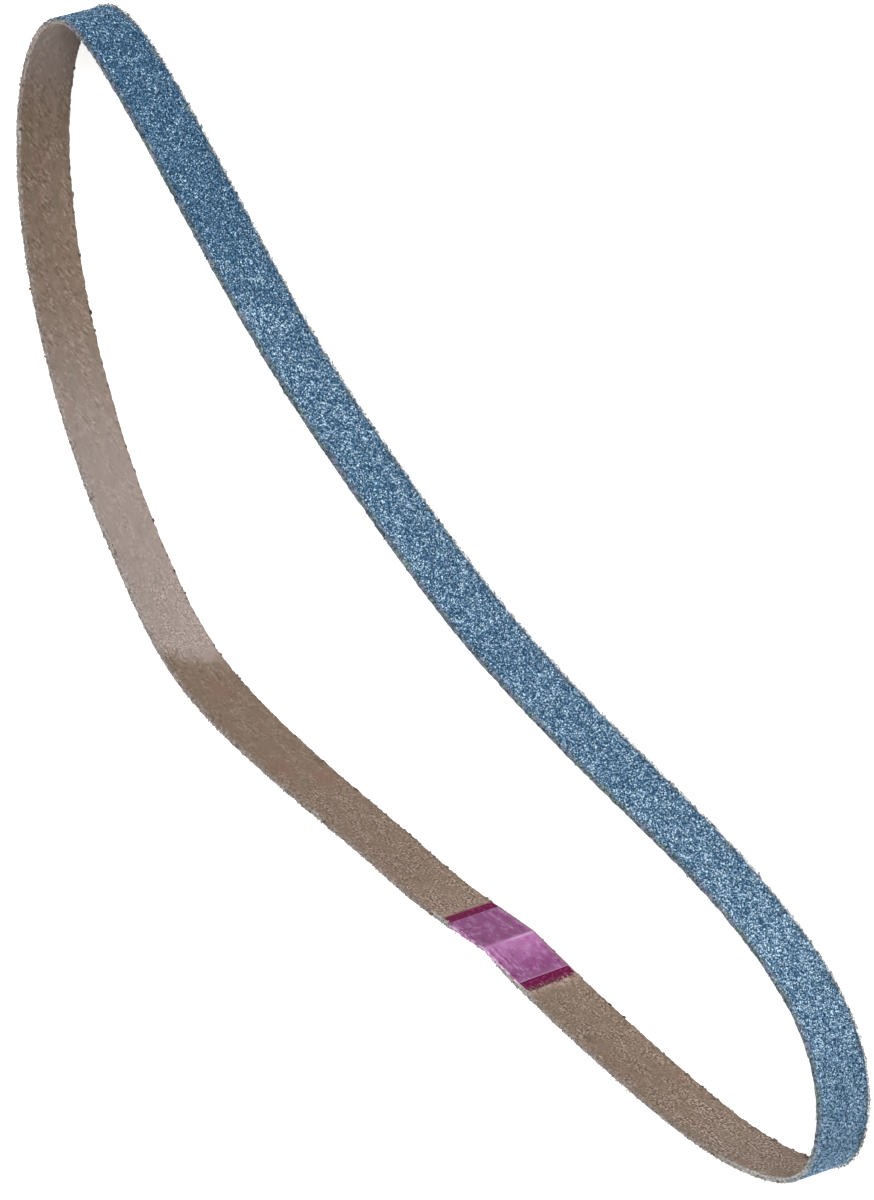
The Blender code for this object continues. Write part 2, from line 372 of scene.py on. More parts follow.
def smooth_noise(run, height, cell, seed):
    """Value noise from -1 to 1: random values on a grid of the cell's size, blended between."""
    size = 256
    table = np.random.RandomState(seed).uniform(-1.0, 1.0, (size, size))
    u = run / cell + 31.7
    v = height / cell + 17.3
    i = np.floor(u).astype(int)
    j = np.floor(v).astype(int)
    a = (u - i) ** 2 * (3 - 2 * (u - i))
    b = (v - j) ** 2 * (3 - 2 * (v - j))
    here, past = i % size, (i + 1) % size
    low, high = (table[here, row % size] * (1 - a) + table[past, row % size] * a for row in (j, j + 1))
    return low * (1 - b) + high * b


def new_piece(name, points, faces, material, slot_name, run, height, smooth=True, **fields):
    """Mesh object from whole arrays: points, triangles, running length and height as a UV map.

    Each further field becomes a number on every point or triangle, read by its name.
    """
    mesh = bpy.data.meshes.new(name)
    size = faces.shape[1]
    mesh.vertices.add(len(points))
    mesh.vertices.foreach_set("co", points.astype(np.float32).ravel())
    mesh.loops.add(faces.size)
    mesh.loops.foreach_set("vertex_index", faces.astype(np.int32).ravel())
    mesh.polygons.add(len(faces))
    mesh.polygons.foreach_set("loop_start", np.arange(0, faces.size, size, dtype=np.int32))
    mesh.update(calc_edges=True)
    mesh.polygons.foreach_set("use_smooth", np.full(len(faces), smooth))
    layer = mesh.uv_layers.new(name="belt")
    place = np.stack((run.ravel(), height.ravel()), axis=-1)[faces.ravel()]
    layer.data.foreach_set("uv", place.astype(np.float32).ravel())
    for field, values in fields.items():
        attribute = mesh.attributes.new(field, "FLOAT", "POINT" if values.size == len(points) else "FACE")
        attribute.data.foreach_set("value", np.ascontiguousarray(values, dtype=np.float32).ravel())
    mesh.validate()
    if smooth:
        mesh.set_sharp_from_angle(angle=SHARP_ANGLE)
    mesh.materials.append(material)
    piece = bpy.data.objects.new(name, mesh)
    bpy.context.scene.collection.objects.link(piece)
    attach(piece, "root")
    return piece


def ring_faces(rows, columns):
    """Triangles of a closed tube of rows rings with columns points each, both ends capped.

    A ring runs up the outer face and down the inner one. A cap is a zigzag of triangles
    between the ring's first and last points, then the next pair, and so on.
    """
    here = np.arange(rows * columns).reshape(rows, columns)
    right = np.roll(here, -1, axis=1)
    a, b, c, d = here[:-1], right[:-1], right[1:], here[1:]
    walls = np.concatenate((np.stack((a, d, c), -1).reshape(-1, 3), np.stack((a, c, b), -1).reshape(-1, 3)))
    order = np.empty(columns, int)
    order[0::2] = np.arange((columns + 1) // 2)
    order[1::2] = columns - 1 - np.arange(columns // 2)
    cap = np.stack((order[:-2], order[1:-1], order[2:]), -1)
    cap[0::2] = cap[0::2, ::-1]
    return np.concatenate((walls, here[0][cap], here[-1][cap][:, ::-1]))


def layer_ring(outer_rows, inner_rows, rim_rows):
    """Section of a thin layer as shares: height from 0 to 1, depth from 0 outside to 1 inside.

    The rows lie a little closer together near the rims. The last array is 1 on the points
    that lie on the cut rims, and 0 on the two faces.
    """
    def spread(rows):
        even = np.linspace(0.0, 1.0, rows)
        return 0.7 * even + 0.3 * (0.5 - 0.5 * np.cos(math.pi * even))

    across = np.linspace(0.0, 1.0, rim_rows + 2)[1:-1]
    outer, inner = spread(outer_rows), spread(inner_rows)[::-1]
    height = np.concatenate((outer, np.ones(rim_rows), inner, np.zeros(rim_rows)))
    depth = np.concatenate((np.zeros(outer_rows), across, np.ones(inner_rows), across[::-1]))
    rim = ((height == 0.0) | (height == 1.0)).astype(float)
    return height, depth, rim


def ragged(run, seed, pitch, depth):
    """Small uneven teeth along a rim, from 0 to depth, about one to each pitch."""
    teeth = np.abs(smooth_noise(run, np.full_like(run, 0.3), pitch, seed))
    fine = np.abs(smooth_noise(run, np.full_like(run, 0.7), pitch / 4, seed + 1))
    return depth * (0.5 * teeth + 0.5 * fine)


def crystal(corners, edge):
    """Triangles of a regular solid: all triples of corners an edge apart, wound outwards."""
    near = np.abs(np.linalg.norm(corners[:, None] - corners[None], axis=-1) - edge) < 0.01
    i, j, k = np.nonzero(near[:, :, None] & near[:, None, :] & near[None])
    triples = np.stack((i, j, k), -1)[(i < j) & (j < k)]
    a, b, c = (corners[triples[:, n]] for n in range(3))
    inward = np.einsum("ni,ni->n", np.cross(b - a, c - a), a) < 0
    triples[inward] = triples[inward][:, ::-1]
    return triples


def four_faces():
    """Corners and triangles of a tetrahedron: every second corner of a cube, at unit distance."""
    corners = np.array(((1, 1, 1), (1, -1, -1), (-1, 1, -1), (-1, -1, 1))) / math.sqrt(3.0)
    return corners, crystal(corners, math.sqrt(8.0 / 3.0))


def twenty_faces():
    """Corners and triangles of an icosahedron of about unit radius."""
    golden = (1 + math.sqrt(5.0)) / 2
    flat = np.array([(0.0, i, j * golden) for i in (-1, 1) for j in (-1, 1)])
    corners = np.concatenate([np.roll(flat, turn, axis=1) for turn in range(3)])
    return corners / math.hypot(1.0, golden), crystal(corners, 2.0)


def scattered(path, solid, run, offset, height, size, random, flat_offset=None):
    """Many copies of one solid: each stretched, its corners uneven, turned at random, then placed.

    size holds a width along the run, through the wall and up the wall for each copy. The
    directions run, out and up are left-handed, so the triangles are wound the other way.
    """
    corners, faces = solid
    count = len(run)
    q = random.normal(size=(count, 4))
    w, x, y, z = (q / np.linalg.norm(q, axis=1)[:, None]).T
    turn = np.stack((
        1 - 2 * (y * y + z * z), 2 * (x * y - z * w), 2 * (x * z + y * w),
        2 * (x * y + z * w), 1 - 2 * (x * x + z * z), 2 * (y * z - x * w),
        2 * (x * z - y * w), 2 * (y * z + x * w), 1 - 2 * (x * x + y * y)), -1).reshape(-1, 3, 3)
    stretch = random.uniform(0.6, 1.25, (count, 1, 3))
    uneven = 1 + random.uniform(-0.25, 0.25, (count, len(corners), 1))
    shape = np.einsum("nij,nkj->nki", turn, corners[None] * stretch * uneven) * size[:, None, :] / 2
    if flat_offset is not None:
        shape[:, :, 1] = np.clip(shape[:, :, 1], -flat_offset, flat_offset)
    s = run[:, None] + shape[:, :, 0]
    up = np.maximum(height[:, None] + shape[:, :, 2], 0.00002)
    points = path.wall(s, offset[:, None] + shape[:, :, 1], up).reshape(-1, 3)
    triangles = (faces[None, :, ::-1] + (np.arange(count) * len(corners))[:, None, None]).reshape(-1, 3)
    return points, triangles, s, up


def tubes(path, line, radius):
    """Closed three-sided tubes along lines of (run, offset, height) points.

    Each ring is three corners at the radius round its point, in the plane square to the line.
    """
    along = np.gradient(line, axis=1)
    along = along / np.linalg.norm(along, axis=2, keepdims=True)
    flat = np.abs(along[:, :1, 1:2]) < 0.7
    side = np.cross(along, np.where(flat, (0.0, 1.0, 0.0), (1.0, 0.0, 0.0)))
    side = side / np.linalg.norm(side, axis=2, keepdims=True)
    other = np.cross(along, side)
    turn = np.arange(3)[:, None] * 2 * math.pi / 3
    round_line = np.cos(turn) * side[:, :, None] + np.sin(turn) * other[:, :, None]
    run, offset, height = np.moveaxis(line[:, :, None] + radius[:, :, None, None] * round_line, -1, 0)
    count, rings = line.shape[:2]
    strand = ring_faces(rings, 3)
    faces = (strand[None] + (np.arange(count) * rings * 3)[:, None, None]).reshape(-1, 3)
    points = path.wall(run, offset, np.maximum(height, 0.00001)).reshape(-1, 3)
    return points, faces, run, height


# Materials

def add_node(tree, kind, **settings):
    """A node with its settings, and inputs given as in_0, in_Scale and so on."""
    node = tree.nodes.new("ShaderNode" + kind)
    for key, value in sorted(settings.items(), key=lambda item: item[0].startswith("in_")):
        if not key.startswith("in_"):
            setattr(node, key, value)
            continue
        name = key[3:].replace("_", " ")
        socket = node.inputs[int(name) if name.isdigit() else name]
        if isinstance(value, Value):
            tree.links.new(value.socket, socket)
        else:
            socket.default_value = value
    return node


class Value:
    """What one output of a new node gives at each point. Arithmetic on it adds more nodes."""

    def __init__(self, tree, kind, output=0, **settings):
        self.tree = tree
        self.socket = add_node(tree, kind, **settings).outputs[output]

    def math(self, operation, other=0.0):
        """Arithmetic with another value or a number."""
        return Value(self.tree, "Math", operation=operation, in_0=self, in_1=other)

    def __add__(self, other):
        return self.math("ADD", other)

    def __sub__(self, other):
        return self.math("SUBTRACT", other)

    def __rsub__(self, other):
        return Value(self.tree, "Math", operation="SUBTRACT", in_0=other, in_1=self)

    def __mul__(self, other):
        return self.math("MULTIPLY", other)

    def ramp(self, low, high, first=0.0, last=1.0):
        """A value that runs smoothly from first to last while this one goes from low to high."""
        return Value(self.tree, "MapRange", interpolation_type="SMOOTHSTEP", in_0=self, in_1=low, in_2=high,
                     in_3=first, in_4=last)

    def mix(self, under, over):
        """The colour under, with this share of the colour over."""
        under, over = (item if isinstance(item, Value) else (*item, 1.0) for item in (under, over))
        return Value(self.tree, "Mix", 2, data_type="RGBA", in_0=self, in_6=under, in_7=over)


def layered(colour, *coats):
    """A colour with coats laid over it in turn, each given as its colour and its share."""
    for over, share in coats:
        colour = share.mix(colour, over)
    return colour


class Recipe:
    """One material: its node tree and its Principled shader."""

    def __init__(self, name, roughness, specular):
        self.material = bpy.data.materials.new(name)
        self.material.use_nodes = True
        self.tree = self.material.node_tree
        self.shader = self.tree.nodes["Principled BSDF"]
        self.set("Roughness", roughness)
        self.set("Specular IOR Level", specular)
        self.set("Metallic", 0.0)

    def set(self, name, value):
        """Constant on the shader's own socket."""
        self.shader.inputs[name].default_value = value

    def field(self, name):
        """A number that the mesh carries on its points or triangles."""
        return Value(self.tree, "Attribute", "Fac", attribute_name=name)

    def place(self, along=1.0, up=1.0, turn=0.0):
        """Running length and height in millimetres, turned in the belt's plane, then stretched."""
        uv = Value(self.tree, "UVMap", uv_map="belt")
        turned = Value(self.tree, "VectorRotate", rotation_type="Z_AXIS", in_Vector=uv, in_Angle=turn)
        return Value(self.tree, "VectorMath", operation="MULTIPLY", in_0=turned,
                     in_1=(1000.0 * along, 1000.0 * up, 1.0))

    def along_and_up(self):
        """Running length and height, each as a value in millimetres."""
        place = self.place()
        return [Value(self.tree, "SeparateXYZ", part, in_Vector=place) for part in (0, 1)]

    def solid(self):
        """Object coordinates in millimetres."""
        place = Value(self.tree, "TexCoord", "Object")
        return Value(self.tree, "VectorMath", operation="SCALE", in_0=place, in_Scale=1000.0)

    def noise(self, place, scale, detail=2.0, roughness=0.6):
        """Noise from 0 to 1, with this many cells to a millimetre."""
        return Value(self.tree, "TexNoise", "Fac", in_Vector=place, in_Scale=scale, in_Detail=detail,
                     in_Roughness=roughness)

    def flat_noise(self, along, up, detail=2.0, roughness=0.6, turn=0.0):
        """Noise from 0 to 1 in the belt's plane: cells to a millimetre along it and up it."""
        return self.noise(self.place(along, up, turn), 1.0, detail, roughness)

    def painted(self, colour, relief=None, strength=0.8, depth=0.0001):
        """The material with its colour, and with bump where a relief from 0 to 1 is given."""
        self.tree.links.new(colour.socket, self.shader.inputs["Base Color"])
        if relief:
            bump = Value(self.tree, "Bump", in_Height=relief, in_Strength=strength, in_Distance=depth)
            self.tree.links.new(bump.socket, self.shader.inputs["Normal"])
        return self.material


def rim_mottle(recipe, colours, face, clean, dirt):
    """The face colour, giving way on the cut rim to a mottle of threads, resin and dark flecks, rubbed pale.

    Along the near run the rim is painted darker, as painted shade, with a slate, olive and lilac mottle,
    darker towards the top and paler towards the floor. clean is the rim's colour elsewhere, and
    dirt the strength of dark flecks.
    """
    patch = recipe.noise(recipe.solid(), 0.7, 1.0, 0.5)
    fleck = recipe.noise(recipe.solid(), 2.3)
    grime = recipe.field("grime")
    height = recipe.along_and_up()[1]
    smeared = layered(
        colours.rim_slate,
        (colours.rim_olive, patch.ramp(0.52, 0.60, 0.0, 0.7)),
        (colours.rim_lilac, patch.ramp(0.47, 0.38, 0.0, 0.7)))
    mottle = layered(
        clean,
        # painted sheen carried onto the rim
        (colours.cloth_grey, recipe.field("bloom") * BLOOM_SHARE),
        # painted shade and mottle on the near run's rim
        (smeared, grime),
        (colours.rim_dark, grime.ramp(0.0, 1.0, 0.4 * dirt, dirt) * fleck.ramp(0.51, 0.60)),
        (colours.rim_pale, grime.ramp(0.0, 1.0, 0.35, 0.65) * fleck.ramp(0.46, 0.37)),
        # along the near run: darker towards the top, paler towards the floor
        (colours.rim_dark, grime * height.ramp(6.0, 12.0, 0.0, 0.32)),
        (colours.rim_pale, grime * height.ramp(3.0, 0.0, 0.0, 0.45)),
        (colours.rim_pale, recipe.field("rubbed") * fleck.ramp(0.60, 0.42, 0.35, 0.9)))
    return layered(face, (mottle, recipe.field("rim")))


def cloth_material(colours):
    """Brown twill: slanting threads, fuzz, patches, a painted grey sheen, stains, pale fibres, painted corner
    shadow, a mottled rim.
    """
    recipe = Recipe("belt_cloth", 0.9, 0.06)
    recipe.set("Sheen Weight", 0.04)
    recipe.set("Sheen Roughness", 0.5)
    threads = recipe.flat_noise(0.60, 2.1, 3.0, turn=0.85)
    fuzz = recipe.flat_noise(1.6, 1.3, 3.0, 0.65)
    speck = recipe.flat_noise(2.9, 2.2, 1.0, 0.5)
    patch = recipe.flat_noise(0.16, 0.28)
    cloud = recipe.flat_noise(0.45, 0.50, 2.0, 0.5, turn=0.4)
    contrast = recipe.flat_noise(0.24, 0.34, 1.0, 0.5).ramp(0.38, 0.60, 0.35, 1.25)
    twill = recipe.field("twill")
    body = twill * threads + (1.0 - twill) * fuzz
    tone = body * 0.85 + speck * 0.15
    tone = (tone - MIDDLE_TONE) * contrast + MIDDLE_TONE
    coarse = recipe.field("coarse") * contrast.ramp(0.35, 1.25, 0.5, 1.2)
    colour = layered(
        colours.cloth_dark,
        (colours.cloth, tone.ramp(0.37, 0.50)),
        (colours.cloth_pale, tone.ramp(0.50, 0.64)),
        (colours.cloth_dark, cloud.ramp(0.46, 0.28, 0.0, 0.45)),
        (colours.cloth_pale, cloud.ramp(0.54, 0.72, 0.0, 0.35)),
        (colours.cloth_glint, coarse * speck.ramp(0.54, 0.68)),
        (colours.cloth_pit, coarse * speck.ramp(0.45, 0.34)),
        (colours.cloth_red, patch.ramp(0.56, 0.76, 0.0, 0.30)),
        (colours.cloth_olive, patch.ramp(0.46, 0.28, 0.0, 0.45)),
        (colours.cloth_red, recipe.field("stain") * 0.7),
        # painted sheen
        (colours.cloth_grey, recipe.field("bloom") * BLOOM_SHARE),
        (colours.cloth_dark, recipe.field("shade") * 0.32),
        (colours.cloth_pink, recipe.field("halo") * fuzz.ramp(0.40, 0.60)),
        (colours.cloth_pale, recipe.field("fibre")),
        # painted shadow in the turn's inside corner, and dark spots
        (colours.cloth_pit, recipe.field("dirt") * 0.9))
    return recipe.painted(rim_mottle(recipe, colours, colour, colours.rim_bare, 0.85), tone, depth=0.00015)


def grain_material(colours):
    """Crushed grains under blue resin: each facet has a tone of its own, partly painted glint, duller on the
    rims.
    """
    recipe = Recipe("belt_grain", 0.45, 0.12)
    tone = recipe.field("tone")
    colour = layered(
        colours.grain_dark,
        (colours.grain_middle, tone.ramp(0.0, 0.5)),
        (colours.grain_pale, tone.ramp(0.5, 1.0)),
        # painted haze of light
        (colours.grain_haze, recipe.field("haze") * 0.4))
    return recipe.painted(rim_mottle(recipe, colours, colour, colours.rim_fringe, 0.35))


def resin_material(colours):
    """Blue resin between and under the grains."""
    recipe = Recipe("belt_resin", 0.6, 0.08)
    speck = recipe.noise(recipe.place(), 2.6)
    colour = layered(colours.grain_dark, (colours.grain_middle, speck.ramp(0.45, 0.75)))
    return recipe.painted(rim_mottle(recipe, colours, colour, colours.rim_fringe, 0.5), speck)


def burr_material(colours):
    """Lumps of torn cloth and resin, from dark to pale by their own tone."""
    recipe = Recipe("belt_burr", 0.8, 0.1)
    tone = recipe.field("tone")
    bare = layered(
        colours.cloth_pit,
        (colours.rim_bare, tone.ramp(0.10, 0.45)),
        (colours.cloth_pale, tone.ramp(0.60, 0.95)))
    smeared = layered(
        colours.rim_dark,
        (colours.rim_slate, tone.ramp(0.10, 0.35)),
        (colours.rim_olive, tone.ramp(0.40, 0.44)),
        (colours.rim_lilac, tone.ramp(0.64, 0.68)),
        (colours.rim_pale, tone.ramp(0.84, 0.90)))
    return recipe.painted(layered(bare, (smeared, recipe.field("grime"))))


def adhesive_material(colours):
    """Dark magenta adhesive that has soaked into the cloth's face, brighter where it lies thin."""
    recipe = Recipe("belt_adhesive", 0.6, 0.04)
    along = recipe.along_and_up()[0]
    speck = recipe.noise(recipe.place(), 1.8)
    torn = along.ramp(8.5, 9.5) * speck.ramp(0.50, 0.60, 0.1, 0.8)
    soft = along.ramp(-8.2, -8.6, 0.0, 0.35)
    colour = layered(
        colours.adhesive,
        (colours.adhesive_bright, speck.ramp(0.50, 0.66)),
        (colours.cloth_pink, torn.math("MAXIMUM", soft)))
    return recipe.painted(colour, speck, 0.6)


def film_material(colours):
    """Purple film: painted light past the fold, creases with painted highlights and shade, pale over the rim.
    """
    recipe = Recipe("belt_film", 0.34, 0.12)
    along, up = recipe.along_and_up()
    width = BELT_WIDTH * 1000.0
    cloud = recipe.flat_noise(0.55, 0.40, 4.0, 0.65, turn=0.6)
    smear = recipe.flat_noise(0.6, 0.6, 2.0, 0.5, turn=0.9)
    crease = recipe.field("crease") * recipe.flat_noise(1.4, 2.6).ramp(0.34, 0.60, 0.4, 1.3)
    dust = layered(colours.film_dust, (colours.film_pale, along.ramp(0.0, 0.3)))
    # Painted highlight along the fold.
    fold = (along - 0.05).math("ABSOLUTE").ramp(0.26, 0.05)
    # Painted highlight on the film's two cut ends.
    cut = along.ramp(7.40, 7.58).math("MAXIMUM", along.ramp(-6.85, -7.0, 0.0, 0.4))
    # Painted highlight on the film's lip over the rim, uneven through noise.
    lip = up.ramp(width - 0.10, width + 0.40) * recipe.flat_noise(1.1, 2.2).ramp(0.42, 0.62, 0.10, 0.95)
    colour = layered(
        colours.film,
        # painted light past the fold, fading out towards 7.4 mm
        (colours.film_bright, along.ramp(7.4, 0.3)),
        (colours.film, along.ramp(0.1, -0.6)),
        (colours.adhesive, cloud.ramp(0.48, 0.72, 0.0, 0.50)),
        (colours.film_pale, cloud.ramp(0.50, 0.30, 0.0, 0.26)),
        (dust, smear.ramp(0.48, 0.70, 0.0, 0.30)),
        (colours.adhesive_bright, smear.ramp(0.42, 0.30, 0.0, 0.45)),
        # painted highlight on the crease ridges, painted shade in the crease hollows
        (colours.film_pale, along.ramp(-0.5, 0.5, 0.5, 0.8) * crease.ramp(0.0, 1.0)),
        (colours.adhesive, crease.ramp(0.0, -1.0, 0.0, 0.85)),
        # painted highlight along the fold
        (colours.film_pale, fold * up.ramp(0.85 * width, 0.35 * width, 0.10, 0.60)),
        (colours.film_pale, along.ramp(6.0, 7.3, 0.0, 0.12)),
        # painted highlight on the cut ends
        (colours.film_pale, cut * 0.45),
        (colours.rim_bare, up.ramp(0.9, 0.2, 0.0, 0.65)),
        (colours.film_lip, lip * along.ramp(-1.0, 1.0, 0.5, 1.0)))
    return recipe.painted(colour, recipe.flat_noise(1.3, 1.3), 0.12)


# Pieces

def belt():
    """The scene's sizes, colours and path."""
    scene = bpy.context.scene
    return scene.belt_sizes, scene.belt_colours, BeltPath(scene.belt_sizes.length)


def strip_run(sizes, path, step):
    """Running lengths from one cut end of the strip to the other, as a column."""
    slit = sizes.joint_gap / 2
    return np.linspace(slit, path.length - slit, int(path.length / step))[:, None]


def swept(name, slot_name, material, path, run, offset, height, up, fold=0.0, **fields):
    """Layer whose section of offsets and heights is carried along the path, through path.wall.

    up is the height that the material reads, which leaves out the unevenness of the shape, and
    fold the distance from the joint over which the layer turns from one end to the other.
    """
    points = path.wall(run, offset, height, fold).reshape(-1, 3)
    return new_piece(name, points, ring_faces(*height.shape), material, slot_name, run, up, **fields)


def cut_fray(run, depth, rim, seed):
    """Noise from -1 to 1 along the cut rims and through their thickness, and 0 on the faces."""
    return rim * smooth_noise(run, depth * 0.0006, 0.00025, seed)


def rim_state(run):
    """Where the rim is rubbed pale, and where it is painted darker as painted shade with a slate mottle, at
    running lengths.
    """
    return {"rubbed": zone(run, PALE_RIM), "grime": zone(run, DIRTY_RIM)}


class BELT_OT_cloth(bpy.types.Operator):
    """Woven backing: a thin section swept round the path, with slanting threads and uneven rims"""
    bl_idname = "belt.cloth"
    bl_label = "Cloth"

    step = 0.00032
    rows = (8, 38, 2)
    top_rise = 0.00010

    def execute(self, context):
        """Height: the lower rim's plus a share of the way to the upper rim's.

        Offset: the cloth's thickness times the depth, less the wear near the upper rim, plus the
        twill's relief and the lower rim's flare on the inner face.
        """
        sizes, colours, path = belt()
        run = strip_run(sizes, path, self.step)
        share, depth, rim = layer_ring(*self.rows)
        low = ragged(run, *CLOTH_FOOT)
        high = BELT_WIDTH + self.top_rise - ragged(run, *CLOTH_TOP)
        height = low + (high - low) * share
        run = np.broadcast_to(run, height.shape)
        relief = 0.00002 * self.twill(run, height)
        fray = 0.00004 * cut_fray(run, depth, rim, 12)
        edge = np.clip(1.0 - np.minimum(height - low, high - height) / RIM_BLEND, 0.0, 1.0) ** 2
        flare = edge * (height < 0.001) * ragged(run, *CLOTH_FLARE)
        worn = edge * (height > 0.001) * ragged(run, *CLOTH_WEAR)
        offset = -0.00001 - (sizes.cloth - worn) * depth - (relief + flare) * (depth == 1.0)
        slanted = run + 0.33 * (height - BELT_WIDTH / 2) + 0.0008 * smooth_noise(run, height, 0.0016, 71)
        # Painted sheen, its edges slanted across the belt.
        bloom = zone(slanted, GREY_BLOOM) * (0.9 + 0.12 * smooth_noise(run, height, 0.0006, 73))
        above_floor = np.maximum(height + fray, 0.0)
        piece = swept(
            "cloth_strip", "cloth", cloth_material(colours), path, run, offset, above_floor, height,
            rim=np.maximum(rim, 0.8 * edge), **rim_state(run), bloom=bloom, shade=zone(slanted, CLOTH_SHADE),
            stain=spots(run, height, STAINS), halo=zone(run, PINK_HALO), coarse=zone(run, SPECKLED),
            twill=np.clip(0.15 + 0.55 * zone(run, CLEAR_TWILL), 0.0, 1.0), dirt=spots(run, height, DIRT))
        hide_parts("cloth_backing")
        return {"FINISHED"}

    def twill(self, run, height):
        """Noise from -1 to 1 whose cells are drawn out along the twill's slant."""
        along = run * math.cos(TWILL_SLANT) - height * math.sin(TWILL_SLANT)
        across = run * math.sin(TWILL_SLANT) + height * math.cos(TWILL_SLANT)
        return smooth_noise(along / 3.5, across, 0.00045, 11)


class BELT_OT_threads(bpy.types.Operator):
    """Threads: thin tapering tubes, frayed out of both rims and curled on the inner face"""
    bl_idname = "belt.threads"
    bl_label = "Frayed threads"

    def execute(self, context):
        sizes, colours, path = belt()
        material = cloth_material(colours)
        pieces = [self.rim_threads(sizes, path, material), self.face_fibres(sizes, path, material)]
        return {"FINISHED"}

    def rim_threads(self, sizes, path, material):
        """Threads that leave the rims: up from the top rim, and out to both sides below.

        Each is a parabola: its root, plus its reach times the way along it, with a lean and a curl.
        """
        column = (sizes.thread_count, 1)
        random = np.random.RandomState(21)
        root = random.uniform(0.0005, path.length - 0.0005, column)
        top = random.uniform(0, 1, column) < 0.5
        outside = random.uniform(0, 1, column) < 0.5
        reach = random.gamma(2.0, 0.00013, column) * np.where(outside & ~top, 1.4, 1.0)
        lean = random.normal(0.0, 0.9, column)
        curl = random.normal(0.0, 0.5, column)
        depth = np.where(top, random.uniform(-0.95, 0.4, column) * sizes.cloth,
                         np.where(outside, 0.8 * sizes.coat, -0.8 * sizes.cloth))
        away = np.where(top, curl * 0.3 - 0.35, np.where(outside, 1.0, -1.0))
        t = np.linspace(0.0, 1.0, 5)[None]
        radius = sizes.thread / 2 * random.uniform(0.5, 1.0, column) * (1.0 - 0.6 * t)
        run = root + reach * t * (lean + curl * t)
        rise = reach * t * np.where(top, 1.0, 0.35)
        height = np.where(top, BELT_WIDTH - 0.00020 + rise, 0.00012 + rise)
        line = np.stack((run, depth + away * reach * t, height), axis=-1)
        points, faces, s, up = tubes(path, line, radius)
        return new_piece("frayed_threads", points, faces, material, "cloth", s, up,
                         rim=0.6 + 0.4 * zone(s, DIRTY_RIM), **rim_state(s))

    def face_fibres(self, sizes, path, material):
        """Fibres on the inner face: short parabolas whose ends dip into the cloth."""
        column = (sizes.fibre_count, 1)
        random = np.random.RandomState(25)
        root = random.uniform(0.0095, path.length - 0.0095, column)
        up = random.uniform(0.0002, BELT_WIDTH - 0.0002, column)
        slant = random.uniform(0.0, 1.0, column) < 0.85 * zone(root, CLEAR_TWILL)
        along_twill = random.normal(-0.85, 0.2, column)
        turn = np.where(slant, along_twill, random.uniform(0.0, 2 * math.pi, column))
        reach = random.gamma(3.0, 0.00028, column)
        curl = random.normal(0.0, 1.0, column) * np.where(slant, 0.3, 1.0)
        t = np.linspace(-0.5, 0.5, 5)[None]
        run = root + reach * (t * np.cos(turn) - curl * t * t * np.sin(turn))
        height = np.clip(up + reach * (t * np.sin(turn) + curl * t * t * np.cos(turn)), 0.00005, BELT_WIDTH)
        offset = np.broadcast_to(-sizes.cloth - 0.00005 + 0.00028 * t * t, run.shape)
        radius = 0.000032 * random.uniform(0.6, 1.2, column) * (1.0 - 0.8 * np.abs(t))
        points, faces, s, high = tubes(path, np.stack((run, offset, height), axis=-1), radius)
        return new_piece("cloth_fibres", points, faces, material, "cloth", s, high,
                         fibre=np.full(s.shape, 0.9), bloom=zone(s, GREY_BLOOM))


